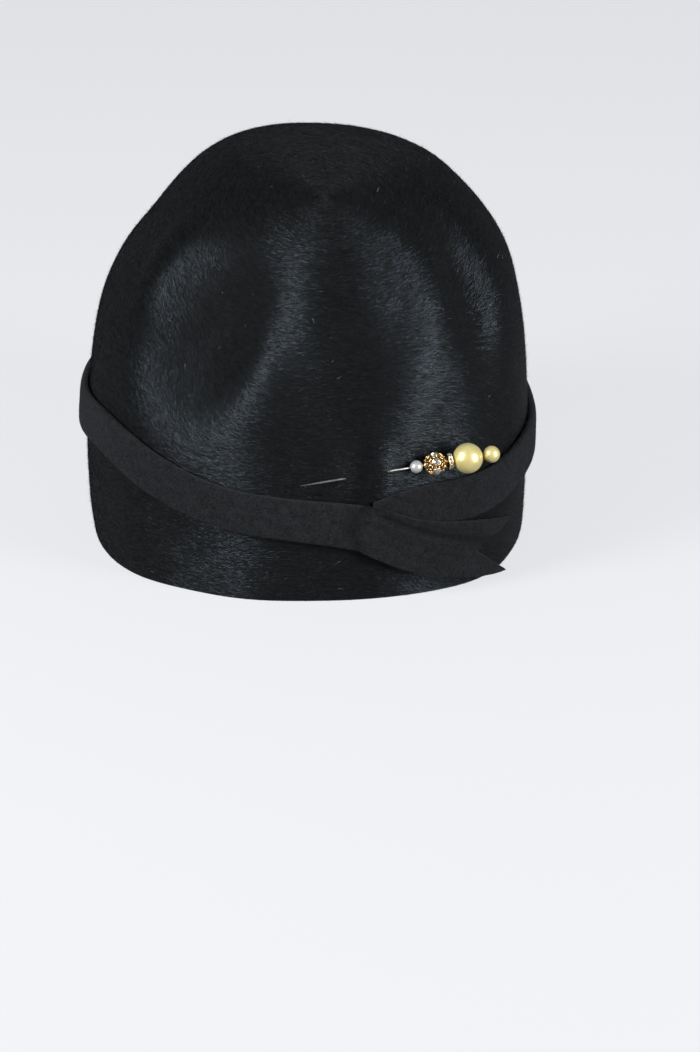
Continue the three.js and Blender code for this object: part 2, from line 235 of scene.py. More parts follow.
# The nap was brushed in circles round a point behind the tip
NAP_TURN = 99
NAP_HEIGHT = 141
nap_middle = crown(
    np.array(NAP_TURN), row_where(CROWN_ROWS, "height", np.array(NAP_HEIGHT))
)


class Signal:
    """What comes out of a shader node. An expression written with it adds its Math nodes."""

    def __init__(self, finish, socket):
        self.finish = finish
        self.socket = socket

    def reckon(self, operation, first, second):
        """A Math node on two inputs, each a signal or a plain number."""
        settings = {"operation": operation}
        return self.finish.node("ShaderNodeMath", settings, {0: first, 1: second})

    def __add__(self, other):
        return self.reckon("ADD", self, other)

    def __radd__(self, other):
        return self.reckon("ADD", other, self)

    def __sub__(self, other):
        return self.reckon("SUBTRACT", self, other)

    def __rsub__(self, other):
        return self.reckon("SUBTRACT", other, self)

    def __mul__(self, other):
        return self.reckon("MULTIPLY", self, other)

    def __rmul__(self, other):
        return self.reckon("MULTIPLY", other, self)


class Finish:
    """A material. Sizes that are the same all over go on the shader's own sockets."""

    def __init__(self, name, **constants):
        self.material = bpy.data.materials.new(name)
        self.material.use_nodes = True
        self.tree = self.material.node_tree
        self.shader = self.tree.nodes["Principled BSDF"]
        for socket, value in constants.items():
            self.shader.inputs[socket.replace("_", " ")].default_value = value

    def node(self, kind, settings, sockets, output=0):
        """Adds a node: its settings first, then the value or link of each named socket."""
        node = self.tree.nodes.new(kind)
        for setting, value in settings.items():
            setattr(node, setting, value)
        for socket, value in sockets.items():
            if isinstance(value, Signal):
                self.tree.links.new(value.socket, node.inputs[socket])
            else:
                node.inputs[socket].default_value = value
        return Signal(self, node.outputs[output])

    def place(self):
        """The place on the piece, in metres."""
        return self.node("ShaderNodeTexCoord", {}, {}, "Object")

    def noise(self, place, scale, detail=2.0):
        """Soft noise from 0 to 1, with so many lumps to the metre."""
        sockets = {"Vector": place, "Scale": scale, "Detail": detail}
        return self.node("ShaderNodeTexNoise", {}, sockets)

    def blend(self, share, first, second):
        """The first colour where the share is 0, and the second where it is 1."""
        return self.node(
            "ShaderNodeMix", {"data_type": "RGBA"}, {0: share, 6: first, 7: second}, 2
        )

    def feed(self, socket, signal):
        """Links a signal to one of the shader's own sockets."""
        self.tree.links.new(signal.socket, self.shader.inputs[socket])

    def raise_up(self, height, distance):
        """Feeds the shader's normal with a relief of the given depth in metres."""
        sockets = {"Height": height, "Distance": distance}
        self.feed("Normal", self.node("ShaderNodeBump", {}, sockets))


def in_metres(point):
    """A place in millimetres on the hat as a place in metres in the part's own frame."""
    return tuple((np.asarray(point) - BOX_MIDDLE) * MILLIMETRE)


def felted_fur():
    """Matted roots of the nap. Streaks run round the brushing point: the noise is read quickly
    by the distance from that point, and slowly by the place itself."""
    felt = Finish(
        "matted fur felt",
        Specular_IOR_Level=0.2,
        Sheen_Weight=0.06,
        Sheen_Roughness=0.4,
        Sheen_Tint=(0.6, 0.68, 0.75, 1),
    )
    place = felt.place()
    away = felt.node(
        "ShaderNodeVectorMath", {"operation": "DISTANCE"}, {0: place, 1: in_metres(nap_middle)}, "Value"
    )
    ring = felt.node("ShaderNodeCombineXYZ", {}, {"Z": away * 4200.0})
    streaked = felt.node(
        "ShaderNodeVectorMath", {"operation": "MULTIPLY_ADD"}, {0: place, 1: (330, 330, 330), 2: ring}
    )
    streak = felt.noise(streaked, 1.0, 3.0)
    cloud = felt.noise(place, 45.0, 3.0)
    felt.feed(
        "Base Color",
        felt.blend(cloud * 0.6 + streak * 0.4, (0.0016, 0.0017, 0.002, 1), (0.005, 0.0052, 0.006, 1)),
    )
    felt.feed("Roughness", 0.95 - streak * 0.25)
    felt.raise_up(streak + felt.noise(place, 900.0) * 0.5, 0.0005)
    return felt.material


fur_felt_crown.data.materials.append(felted_fur())

# The nap of the crown
#
# Hairs two to four millimetres long, laid flat by brushing. Each is a fine sliver that shines as
# a round hair does, because its normals turn from one edge to the other.
HAIR_ROOT = 0.05
HAIR_SWEEP = 58
HAIR_ROLL = 30
HAIR_WIDTHS = (0.6, 1.3)
CELL_TURN = 2.0
CELL_ROW = 0.1


def scatter(random, count):
    """Turns and rows spread evenly over the crown's outside: cells are drawn by their area, and
    a place is drawn inside each."""
    turn = np.arange(0, 360, CELL_TURN)[:, None] + CELL_TURN / 2
    row = np.arange(CELL_ROW / 2, LAST_ROW - CELL_ROW, CELL_ROW)[None, :] + CELL_ROW / 2
    along = crown(turn + CELL_TURN / 2, row) - crown(turn - CELL_TURN / 2, row)
    up = crown(turn, row + CELL_ROW / 2) - crown(turn, row - CELL_ROW / 2)
    area = np.linalg.norm(np.cross(along, up), axis=-1)
    cell = random.choice(area.size, count, p=(area / area.sum()).ravel())
    turn_cell, row_cell = np.unravel_index(cell, area.shape)
    inside_turn, inside_row = random.uniform(-0.5, 0.5, (2, count))
    return turn[turn_cell, 0] + inside_turn * CELL_TURN, row[0, row_cell] + inside_row * CELL_ROW


# Four places on the back were brushed another way, each over its own distance and by its own angle
SWIRLS = table(
    "name turn height size swing",
    ("left side", 62, 80, 23, -75),
    ("low left", 56, 38, 38, 34),
    ("low right", 138, 48, 42, -55),
    ("under knot", 117, 10, 20, -42),
)
swirl_middles = plain_crown(
    SWIRLS["turn"], row_where(CROWN_ROWS, "height", SWIRLS["height"].astype(float))
)
WAVE_SWING = 2.4
WAVES = table(
    "sideways lengthways upwards start",
    (0.21, 0.0, 0.13, 1.0),
    (-0.09, 0.05, 0.31, 0.0),
    (0.47, 0.2, 0.39, 2.0),
)


def drift(point):
    """How far the nap strays from its circles, in degrees: long crossing waves over the felt,
    and swing * exp(-(distance / size)^2) near each swirl."""
    stray = 0
    for *wave, start in zip(*WAVES.values()):
        stray = stray + WAVE_SWING * np.sin(point @ np.array(wave) + start)
    for swirl, middle in enumerate(swirl_middles):
        near = np.sum((point - middle) ** 2, -1) / SWIRLS["size"][swirl] ** 2
        stray += SWIRLS["swing"][swirl] * np.exp(-near)
    return stray


def slivers(random, root, outwards, flat, rise, length, half_width):
    """Slivers from a root in the felt to a free end: points, faces and normals. A sliver leaves
    the felt at a least angle and a chance one, is rolled a little about its own length, and its
    normals turn by the sweep to either side of its middle."""
    count = len(root)
    lifted = np.radians(rise[0] + random.exponential(rise[1], count))[:, None]
    way = flat * np.cos(lifted) + outwards * np.sin(lifted)
    roll = np.radians(random.uniform(-HAIR_ROLL, HAIR_ROLL, count))[:, None]
    level = unit(np.cross(way, outwards))
    above = np.cross(level, way)
    edge = level * np.cos(roll) + above * np.sin(roll)
    middle = above * np.cos(roll) - level * np.sin(roll)
    foot = root - outwards * HAIR_ROOT
    wide = half_width * random.uniform(*HAIR_WIDTHS, count)[:, None]
    end = foot + way * random.uniform(*length, count)[:, None]
    points = np.stack([foot - edge * wide, foot + edge * wide, end], 1)
    points[..., 2] = np.maximum(points[..., 2], HAIR_ROOT)
    turn, keep = np.sin(np.radians(HAIR_SWEEP)), np.cos(np.radians(HAIR_SWEEP))
    normals = np.stack([middle * keep - edge * turn, middle * keep + edge * turn, middle], 1)
    corners = np.arange(3 * count).reshape(-1, 3)
    across = np.cross(points[:, 1] - points[:, 0], points[:, 2] - points[:, 0])
    behind = np.sum(across * outwards, -1) < 0
    corners[behind] = corners[behind][:, ::-1]
    return points.reshape(-1, 3), corners, normals.reshape(-1, 3)


def hairs(seed, count, length, rise, stray, half_width):
    """The nap: a hair lies along outwards x (root - brushing point), turned by the drift and by
    a chance angle."""
    random = np.random.default_rng(seed)
    root_places = scatter(random, count)
    root = crown(*root_places)
    outwards = directions_on(crown, *root_places)[2]
    round_about = unit(np.cross(outwards, root - nap_middle))
    across = np.cross(outwards, round_about)
    swing = np.radians(drift(root) + random.normal(0, stray, count))[:, None]
    flat = round_about * np.cos(swing) + across * np.sin(swing)
    return slivers(random, root, outwards, flat, rise, length, half_width)


def new_hairs(name, shape, finish):
    """A piece made of slivers, with their own normals."""
    points, corners, normals = shape
    piece = new_piece(name, points, corners)
    piece.data.normals_split_custom_set_from_vertices(normals)
    piece.data.materials.append(finish.material)
    return piece


NAP = table(
    "name seed count shade roughness half_width",
    ("nap_under", 11, 150000, 0.0025, 0.34, 0.08),
    ("nap_middle", 12, 150000, 0.004, 0.3, 0.07),
    ("nap_over", 13, 150000, 0.006, 0.26, 0.06),
)
for name, seed, count, shade, roughness, half_width in zip(*NAP.values()):
    hair = Finish(
        f"dyed hair {name}",
        Base_Color=(shade, shade * 1.04, shade * 1.2, 1),
        Roughness=roughness,
        Specular_IOR_Level=0.45,
        Specular_Tint=(0.7, 0.86, 1.0, 1),
    )
    shape = hairs(
        seed, count, length=(2.0, 3.8), rise=(1.5, 3.0), stray=12, half_width=half_width
    )
    new_hairs(str(name), shape, hair)

loose_hair = Finish(
    "loose hair", Base_Color=(0.008, 0.0092, 0.0095, 1), Roughness=0.5, Specular_IOR_Level=0.3
)
loose_shape = hairs(14, 50000, length=(1.0, 2.6), rise=(12, 14), stray=50, half_width=0.035)
new_hairs("loose_hairs", loose_shape, loose_hair)
pale_hair = Finish("undyed hair", Base_Color=(0.3, 0.33, 0.37, 1), Roughness=0.5)
pale_shape = hairs(15, 260, length=(1.2, 3.2), rise=(4, 10), stray=40, half_width=0.045)
new_hairs("stray_hairs", pale_shape, pale_hair)

# The felt strip
#
# One strip of charcoal wool felt, folded lengthwise to 15 mm, laid once round the crown and tied
# over itself at the back. Its free end opens out flat and is cut in a fork.
STRIP_SIDES = 48
STEPS_PER_STRIP_ROW = 18
STRIP_EDGE = 5
STRIP_TURN_STEP = 0.5
CREASE_TURN = 461.8
CREASE_BOW = 2.2
CREASE_HALF = 1.7
CREASE_DEPTH = 1.5
FORK_ACROSS = 0.47
FORK_TURN = 12.5
FORK_START = 476
SEAT_DEPTH = 0.4
SEAT_END = 458
SEAT_FADE = 6
STRIP_ROWS = table(
    "turn height lift width thick",
    (103.6, 35.4, 0.6, 6.4, 1.3),
    (107.0, 35.0, 0.6, 10.6, 1.8),
    (111.5, 34.6, 0.6, 13.8, 2.6),
    (117.0, 34.5, 0.6, 15.0, 3.0),
    (124.0, 34.1, 0.6, 15.4, 3.1),
    (132.0, 34.5, 0.6, 15.4, 3.1),
    (141.0, 36.5, 0.6, 15.4, 3.1),
    (152.0, 38.1, 0.6, 15.4, 3.1),
    (166.0, 38.3, 0.6, 15.4, 3.1),
    (182.0, 37.6, 0.6, 15.4, 3.1),
    (200.0, 37.9, 0.6, 15.4, 3.1),
    (220.0, 39.0, 0.6, 15.4, 3.1),
    (240.0, 40.5, 0.6, 15.4, 3.1),
    (260.0, 42.0, 0.6, 15.4, 3.1),
    (280.0, 43.3, 0.6, 15.4, 3.1),
    (300.0, 44.4, 0.6, 15.4, 3.1),
    (320.0, 45.3, 0.6, 15.4, 3.1),
    (340.0, 46.4, 0.6, 15.4, 3.1),
    (358.0, 48.0, 0.6, 15.4, 3.1),
    (374.0, 50.0, 0.6, 15.4, 3.1),
    (388.0, 51.9, 0.6, 15.4, 3.1),
    (399.0, 52.1, 0.6, 15.4, 3.1),
    (408.0, 49.1, 0.6, 15.4, 3.1),
    (417.0, 43.6, 0.6, 15.4, 3.1),
    (426.0, 38.5, 0.6, 15.4, 3.1),
    (435.0, 35.2, 0.6, 15.4, 3.1),
    (444.0, 33.2, 0.6, 15.4, 3.1),
    (452.0, 31.5, 0.7, 15.9, 3.1),
    (458.0, 30.2, 1.1, 16.7, 3.1),
    (462.0, 28.8, 2.0, 17.6, 3.0),
    (466.0, 25.7, 2.7, 18.5, 2.9),
    (470.5, 22.0, 3.3, 19.4, 2.8),
    (476.0, 18.7, 3.9, 20.5, 2.7),
    (482.5, 15.9, 3.3, 21.3, 2.5),
    (489.5, 13.2, 2.8, 21.3, 2.3),
    (496.5, 10.6, 2.4, 20.5, 2.2),
)
# Folds along the strip, from one turn to another. A place across runs from 0 at the lower edge
# to 1 at the upper one, and a negative depth stands up as a ridge.
STRIP_FOLDS = table(
    "name start across_start end across_end half depth",
    ("tail valley", 463.5, 0.88, 489.5, 0.62, 0.07, 1.9),
    ("tail ridge", 463.0, 0.74, 489.5, 0.50, 0.04, -0.7),
    ("tail line", 462.5, 0.98, 486.0, 0.83, 0.03, 0.7),
    ("tail middle", 463.0, 0.60, 482.0, 0.36, 0.06, 0.6),
    ("tail foot", 463.0, 0.42, 480.0, 0.16, 0.07, 0.5),
    ("knot pleat", 107.0, 0.96, 112.0, 0.62, 0.06, 0.8),
)
FOLD_FADE = 1.5


def fork_cut(across):
    """How many turns the forked end is cut back: nothing at its two points, most between."""
    short = np.where(across < FORK_ACROSS, across / FORK_ACROSS, (1 - across) / (1 - FORK_ACROSS))
    return FORK_TURN * short


def strip_middle(turn):
    """The place on the crown under the middle of the strip."""
    height = along_rows(STRIP_ROWS, "height", row_where(STRIP_ROWS, "turn", turn))
    return crown(turn, row_where(CROWN_ROWS, "height", height))


def strip_folds(turn, across):
    """How far the outside is pressed in: each fold is depth * exp(-(distance across / half)^2),
    with its middle on a straight line. It fades in and out at its ends as (1 + tanh) / 2 does."""
    press = np.zeros(np.broadcast_shapes(turn.shape, across.shape))
    for name, start, across_start, end, across_end, half, depth in zip(*STRIP_FOLDS.values()):
        share = np.clip((turn - start) / (end - start), 0, 1)
        middle = across_start + (across_end - across_start) * share
        fade_in = (1 + np.tanh(2 * (turn - start) / FOLD_FADE)) / 2
        fade_out = (1 + np.tanh(2 * (end - turn) / FOLD_FADE)) / 2
        press += depth * fade_in * fade_out * np.exp(-(((across - middle) / half) ** 2))
    return press


def strip_place(row, around):
    """Where a place on the strip lies: its turn, across the strip from -0.5 to 0.5, and out from
    the middle likewise. The section is a rounded oblong, |x|^n + |y|^n = 1."""
    across, reach = np.cos(around) / 2, np.abs(np.cos(around))
    out = np.sign(np.sin(around)) * np.maximum(1 - reach**STRIP_EDGE, 0) ** (1 / STRIP_EDGE) / 2
    plain_turn = along_rows(STRIP_ROWS, "turn", row)
    late = np.clip((plain_turn - FORK_START) / (STRIP_ROWS["turn"][-1] - FORK_START), 0, 1)
    return plain_turn - late * fork_cut(across + 0.5), across, out


def strip_press(turn, across, out):
    """How far the outside is pressed in by the folds and by the crease at the knot. The crease
    is bowed: its turn is least half way across."""
    crease_turn = CREASE_TURN - CREASE_BOW * (1 - (2 * across) ** 2)
    crease = CREASE_DEPTH * np.exp(-(((turn - crease_turn) / CREASE_HALF) ** 2))
    return np.where(out > 0, crease + strip_folds(turn, across + 0.5), 0)


def strip_skin(row, around):
    """The strip's middle on the crown, moved outwards by the lift and by the place in the
    thickness, and upwards by the place across times the width. Up to the knot its inside is
    pressed down into the nap."""
    turn, across, out = strip_place(row, around)
    row = row_where(STRIP_ROWS, "turn", turn)
    lift, width, thick = (along_rows(STRIP_ROWS, c, row) for c in ("lift", "width", "thick"))
    height = along_rows(STRIP_ROWS, "height", row)
    outwards = directions_on(crown, turn, row_where(CROWN_ROWS, "height", height))[2]
    ahead = strip_middle(np.minimum(turn + STRIP_TURN_STEP, STRIP_ROWS["turn"][-1]))
    forwards = unit(ahead - strip_middle(turn - STRIP_TURN_STEP))
    upwards = unit(np.cross(outwards, forwards))
    seat = SEAT_DEPTH * np.clip((SEAT_END - turn) / SEAT_FADE, 0, 1) * np.maximum(-2 * out, 0)
    raised = lift + thick / 2 + out * thick - strip_press(turn, across, out) - seat
    return strip_middle(turn) + outwards * raised[..., None] + upwards * (across * width)[..., None]


strip_last = len(STRIP_ROWS["turn"]) - 1
strip_rows = np.linspace(0, strip_last, strip_last * STEPS_PER_STRIP_ROW + 1)[:, None]
strip_around = np.arange(STRIP_SIDES)[None, :] * 2 * np.pi / STRIP_SIDES
strip_rings = strip_skin(strip_rows, strip_around)
strip_start = strip_rings[0].mean(0)
notch = strip_rings[-1, [STRIP_SIDES // 4, 3 * STRIP_SIDES // 4]].mean(0)
felt_strip = new_piece("felt_strip", *closed_skin(strip_rings, strip_start, notch))
# The fold depth at each point is kept for the felt's painted shade in the folds
fold_depth = strip_press(*strip_place(strip_rows, strip_around)).ravel()
felt_strip.data.attributes.new("fold_depth", "FLOAT", "POINT")
felt_strip.data.attributes["fold_depth"].data.foreach_set("value", np.r_[fold_depth, 0, 0])
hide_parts("felt_band")
strip_line = strip_middle(np.linspace(STRIP_ROWS["turn"][0], STRIP_ROWS["turn"][-1], 800))


def wool_felt():
    """Milled wool: fine crossing fibres over soft clouds of thicker and thinner felt. Light hardly
    gets into the folds, so shade is painted there: the colour darkens by a share for each millimetre."""
    felt = Finish(
        "charcoal wool felt",
        Specular_IOR_Level=0.1,
        Sheen_Weight=0.06,
        Sheen_Roughness=0.5,
        Sheen_Tint=(0.7, 0.72, 0.8, 1),
    )
    place = felt.place()
    fibre = felt.noise(place, 1500.0, 4.0)
    cloud = felt.noise(place, 420.0, 3.0)
    fold = felt.node("ShaderNodeAttribute", {"attribute_name": "fold_depth"}, {}, "Fac")
    mottled = felt.blend(
        fibre * 2.6 + cloud * 1.3 - 1.45, (0.005, 0.0051, 0.006, 1), (0.021, 0.0216, 0.0248, 1)
    )
    # painted shade: the colour goes towards near black with the fold depth
    felt.feed("Base Color", felt.blend(fold * 0.3, mottled, (0.001, 0.001, 0.0012, 1)))
    felt.feed("Roughness", 0.8 + cloud * 0.3)
    felt.raise_up(fibre + cloud * 0.7, 0.0007)
    return felt.material


felt_strip.data.materials.append(wool_felt())

FLUFF_COUNT = 120000
FLUFF_STEP = 0.01
fluff_random = np.random.default_rng(21)
fluff_row = fluff_random.uniform(0, strip_last - 2 * FLUFF_STEP, FLUFF_COUNT)
fluff_around = np.arccos(fluff_random.uniform(-1, 1, FLUFF_COUNT))
fluff_root = strip_skin(fluff_row, fluff_around)
fluff_along = unit(strip_skin(fluff_row + FLUFF_STEP, fluff_around) - fluff_root)
fluff_over = strip_skin(fluff_row, fluff_around + FLUFF_STEP) - fluff_root
fluff_outwards = unit(np.cross(fluff_over, fluff_along))
fluff_swing = fluff_random.uniform(0, 2 * np.pi, FLUFF_COUNT)[:, None]
fluff_flat = fluff_along * np.cos(fluff_swing) + unit(fluff_over) * np.sin(fluff_swing)
fluff = slivers(
    fluff_random,
    fluff_root,
    fluff_outwards,
    fluff_flat,
    rise=(2, 9),
    length=(0.4, 0.9),
    half_width=0.03,
)
wool_fibre = Finish(
    "dyed wool fibre", Base_Color=(0.018, 0.0187, 0.021, 1), Roughness=0.7, Specular_IOR_Level=0.2
)
new_hairs("strip_fluff", fluff, wool_fibre)

# The hat pin
#
# A steel wire, 0.8 mm thick and ground to a point, pushed through the felt above the knot. The
# beads are threaded on its other end.
PIN_POINT = np.array([2.1, 103.6, 46.0])
PIN_END = np.array([-66.5, 91.1, 53.1])
PIN_RADIUS = 0.4
PIN_TAPER = 8
PIN_GRIND = 0.8
PIN_LENGTH = 71.1
PIN_BEVEL = 0.1
PIN_SIDES = 24
BORE = 0.7
pin_axis = unit(PIN_END - PIN_POINT)
pin_up = unit(np.array([0.0, 0.0, 1.0]) - pin_axis[2] * pin_axis)
pin_out = np.cross(pin_axis, pin_up)


def on_pin(along, radius, angle):
    """A place by its distance along the pin, and its distance from the axis at an angle. At no
    angle it lies straight out from the felt, and at a quarter turn above the pin."""
    along, radius, angle = np.broadcast_arrays(along, radius, angle)
    around = -pin_out * np.cos(angle)[..., None] + pin_up * np.sin(angle)[..., None]
    return PIN_POINT + pin_axis * along[..., None] + around * radius[..., None]


def turned(at, along, radius, sides):
    """A profile carried round the pin: rings of points at each place along, closed by a point on
    the axis at either end."""
    angle = np.arange(sides)[None, :] * 2 * np.pi / sides
    rings = on_pin(at + np.asarray(along)[:, None], np.asarray(radius)[:, None], angle)
    return closed_skin(rings, on_pin(at + along[0], 0, 0), on_pin(at + along[-1], 0, 0))


taper = np.linspace(0.02, 1, 24)
pin_along = np.r_[PIN_TAPER * taper, PIN_LENGTH - PIN_BEVEL, PIN_LENGTH]
pin_radius = np.r_[PIN_RADIUS * taper**PIN_GRIND, PIN_RADIUS, PIN_RADIUS - PIN_BEVEL]
hat_pin = new_piece("hat_pin", *turned(0, pin_along, pin_radius, PIN_SIDES))
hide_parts("pin_shaft")
steel = Finish("drawn steel", Base_Color=(0.78, 0.76, 0.7, 1), Metallic=1.0)
steel_scratch = steel.noise(steel.place(), 900.0, 3.0)
steel.feed("Roughness", 0.18 + steel_scratch * 0.25)
hat_pin.data.materials.append(steel.material)

# The pearls
#
# Glass beads dipped in pearl essence: one small and white, one large and cream, and a cream one
# that caps the pin. Each has a slightly dished lip where it was drilled.
PEARL_STEPS = 48
PEARL_SIDES = 64
LIP = 0.12


def drilled_pearl(at, radius, capped=False):
    """A ball's profile from lip to lip, with both lips dished in and closed over the bore. A
    capping pearl goes on round to its far pole."""
    edge = np.arccos((BORE + LIP) / radius)
    top = np.pi / 2 - 0.03 if capped else edge
    angle = np.linspace(-edge, top, PEARL_STEPS)
    along, across = radius * np.sin(angle), radius * np.cos(angle)
    inner = [along[0] + LIP * 1.2, along[0] + LIP * 0.3]
    along, across = np.r_[inner, along], np.r_[BORE * 0.8, BORE, across]
    if not capped:
        along, across = np.r_[along, -inner[1], -inner[0]], np.r_[across, BORE, BORE * 0.8]
    return turned(at, along, across, PEARL_SIDES)


def pearl_essence(name, low, high):
    """Pearl coating: soft clouds between two near tones, under a clear glossy skin."""
    pearl = Finish(
        name,
        Metallic=0.4,
        Specular_IOR_Level=0.6,
        Coat_Weight=0.8,
        Coat_Roughness=0.2,
        Subsurface_Weight=0.25,
        Subsurface_Radius=(1.0, 0.8, 0.5),
        Subsurface_Scale=0.001,
        Sheen_Weight=0.3,
        Sheen_Roughness=0.3,
        Sheen_Tint=high,
    )
    cloud = pearl.noise(pearl.place(), 260.0, 3.0)
    pearl.feed("Base Color", pearl.blend(cloud, low, high))
    pearl.feed("Roughness", 0.3 + cloud * 0.12)
    pearl.raise_up(pearl.noise(pearl.place(), 700.0), 0.00003)
    return pearl.material


pearl_finishes = {
    "pearl_cream": pearl_essence("cream pearl", (0.76, 0.63, 0.22, 1), (0.9, 0.81, 0.4, 1)),
    "pearl_white": pearl_essence("white pearl", (0.5, 0.5, 0.49, 1), (0.66, 0.66, 0.65, 1)),
}
PEARLS = table(
    "piece node slot at radius capped",
    ("pearl_white", "pearl_small", "pearl_white", 42.8, 2.3, False),
    ("pearl_cream", "pearl_large", "pearl_cream", 61.9, 5.5, False),
    ("pearl_cap", "pearl_end", "pearl_cream", 70.75, 3.05, True),
)
for piece, node, slot, at, radius, capped in zip(*PEARLS.values()):
    pearl = new_piece(str(piece), *drilled_pearl(at, radius, capped))
    pearl.data.materials.append(pearl_finishes[slot])
    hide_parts(str(node))

# The filigree ball
#
# A hollow ball of gilt wire over a dark amber core, with six clear stones in cups round its
# middle. Loops of wire and small grains are soldered over both ends, between two collars.
BALL_AT = 49.75
BALL_RADIUS = 4.35
CORE_RADIUS = 3.3
BALL_STONES = 6
STONE_RADIUS = 1.32
STONE_DEPTH = 0.75
STONE_FACETS = 8
STONE_POINT = 0.8
STONE_RINGS = ((0.1, -0.75), (1.0, -0.12), (1.0, 0.08), (0.56, 0.5))
CUP_BACK = 0.1
CUP_GAP = 0.08
CUP_WIRE = 0.2
WIRE_SIDES = 10
WIRE_STEPS = 28
LOOP_LATITUDE = 0.68
LOOP_DEPTH = 0.55
LOOP_RADIUS = 0.78
LOOP_WIRE = 0.24
GRAINS = table(
    "latitude steps_round depth radius",
    (0.585, 0.0, 0.42, 0.36),
    (1.02, 0.0, 0.4, 0.3),
    (0.17, 0.5, 0.6, 0.34),
)
COLLAR_LATITUDE = 1.2
COLLAR_DEPTH = 0.3
COLLARS = table(
    "beyond radius wire",
    (0.0, 1.35, 0.26),
    (0.18, 0.95, 0.2),
)


def on_ball(latitude, longitude, radius):
    """A place by its latitude along the pin and its longitude round it, in radians."""
    return on_pin(BALL_AT + radius * np.sin(latitude), radius * np.cos(latitude), longitude)


def wire_ring(middle, normal, radius, wire):
    """A ring of round wire: a circle of the wire's radius, carried round the ring's own circle."""
    side = unit(np.cross(normal, pin_axis + 0.3 * pin_up))
    other = np.cross(normal, side)
    sweep = np.arange(WIRE_STEPS)[:, None, None] * 2 * np.pi / WIRE_STEPS
    round_wire = np.arange(WIRE_SIDES)[None, :, None] * 2 * np.pi / WIRE_SIDES
    away = side * np.cos(sweep) + other * np.sin(sweep)
    points = middle + away * (radius + wire * np.cos(round_wire)) + normal * wire * np.sin(round_wire)
    ring, place = np.meshgrid(np.arange(WIRE_STEPS), np.arange(WIRE_SIDES), indexing="ij")
    after, beside = (ring + 1) % WIRE_STEPS, (place + 1) % WIRE_SIDES
    corners = [ring * WIRE_SIDES + place, after * WIRE_SIDES + place]
    corners += [after * WIRE_SIDES + beside, ring * WIRE_SIDES + beside]
    return points.reshape(-1, 3), np.stack(corners, -1).reshape(-1, 4)


def grain(middle, radius):
    """A small ball on a grid of latitudes and longitudes, its poles closed to near points."""
    latitude = np.linspace(-1.5, 1.5, 9)[:, None, None]
    longitude = np.arange(12)[None, :, None] * np.pi / 6
    level = pin_out * np.cos(longitude) + pin_up * np.sin(longitude)
    rings = middle + radius * (level * np.cos(latitude) + pin_axis * np.sin(latitude))
    return closed_skin(rings, middle - pin_axis * radius, middle + pin_axis * radius)


def joined(shapes):
    """Several shapes as one: each one's corners are counted on from the points before it."""
    points, quads, triangles, start = [], [], [], 0
    for shape in shapes:
        points.append(shape[0])
        for group in shape[1:]:
            (quads if group.shape[1] == 4 else triangles).append(group + start)
        start += len(shape[0])
    groups = [np.concatenate(found) for found in (quads, triangles) if found]
    return np.concatenate(points), *groups


def cut_stone(middle, outwards, radius):
    """A round-cut stone: rings of corners from its point behind, over the girdle, to its flat
    table, each ring wide and high by so many radii, with the table's turned by half a facet."""
    side = unit(np.cross(outwards, pin_axis + 0.2 * pin_up))
    other = np.cross(outwards, side)
    rings = []
    for ring, (wide, high) in enumerate(STONE_RINGS, 1):
        half_turned = 0.5 * (ring == len(STONE_RINGS))
        angle = (np.arange(STONE_FACETS)[:, None] + half_turned) * 2 * np.pi / STONE_FACETS
        level = side * np.cos(angle) + other * np.sin(angle)
        rings.append(middle + radius * (level * wide + outwards * high))
    rings = np.array(rings)
    return closed_skin(rings, middle - outwards * radius * STONE_POINT, rings[-1].mean(0))


gold = Finish("gilt wire", Metallic=1.0)
gold_wear = gold.noise(gold.place(), 1200.0, 3.0)
gold.feed("Base Color", gold.blend(gold_wear, (0.85, 0.5, 0.17, 1), (1.0, 0.8, 0.44, 1)))
gold.feed("Roughness", 0.12 + gold_wear * 0.22)
amber = Finish("dark amber core", Roughness=0.25, Coat_Weight=0.5)
amber_cloud = amber.noise(amber.place(), 500.0)
amber.feed("Base Color", amber.blend(amber_cloud, (0.02, 0.008, 0.003, 1), (0.16, 0.055, 0.012, 1)))
stone = Finish(
    "foiled clear stone",
    Base_Color=(0.82, 0.84, 0.88, 1),
    Metallic=0.85,
    Coat_Weight=1.0,
    Coat_Roughness=0.02,
)
stone_foil = stone.noise(stone.place(), 1500.0)
stone.feed("Roughness", 0.04 + stone_foil * 0.12)

core_latitude = np.linspace(-1.35, 1.35, 32)
ball_core = new_piece(
    "ball_core",
    *turned(BALL_AT, CORE_RADIUS * np.sin(core_latitude), CORE_RADIUS * np.cos(core_latitude), 48),
)
ball_core.data.materials.append(amber.material)

stone_step = 2 * np.pi / BALL_STONES
wires, stones = [], []
for longitude in (np.arange(BALL_STONES) + 0.5) * stone_step:
    outwards = on_ball(0, longitude, 1.0) - on_ball(0, longitude, 0.0)
    seat = on_ball(0, longitude, BALL_RADIUS - STONE_DEPTH)
    stones.append(cut_stone(seat, outwards, STONE_RADIUS))
    cup = seat - outwards * CUP_BACK
    wires.append(wire_ring(cup, outwards, STONE_RADIUS + CUP_GAP, CUP_WIRE))
    for end in (-1, 1):
        beside = longitude + stone_step / 2
        middle = on_ball(end * LOOP_LATITUDE, beside, BALL_RADIUS - LOOP_DEPTH)
        facing = unit(middle - on_ball(0, 0, 0.0))
        wires.append(wire_ring(middle, facing, LOOP_RADIUS, LOOP_WIRE))
        for latitude, steps_round, depth, radius in zip(*GRAINS.values()):
            round_pin = longitude + steps_round * stone_step
            wires.append(grain(on_ball(end * latitude, round_pin, BALL_RADIUS - depth), radius))
for end in (-1, 1):
    collar = BALL_AT + end * (BALL_RADIUS - COLLAR_DEPTH) * np.sin(COLLAR_LATITUDE)
    for beyond, radius, wire in zip(*COLLARS.values()):
        wires.append(wire_ring(on_pin(collar + end * beyond, 0, 0), pin_axis, radius, wire))
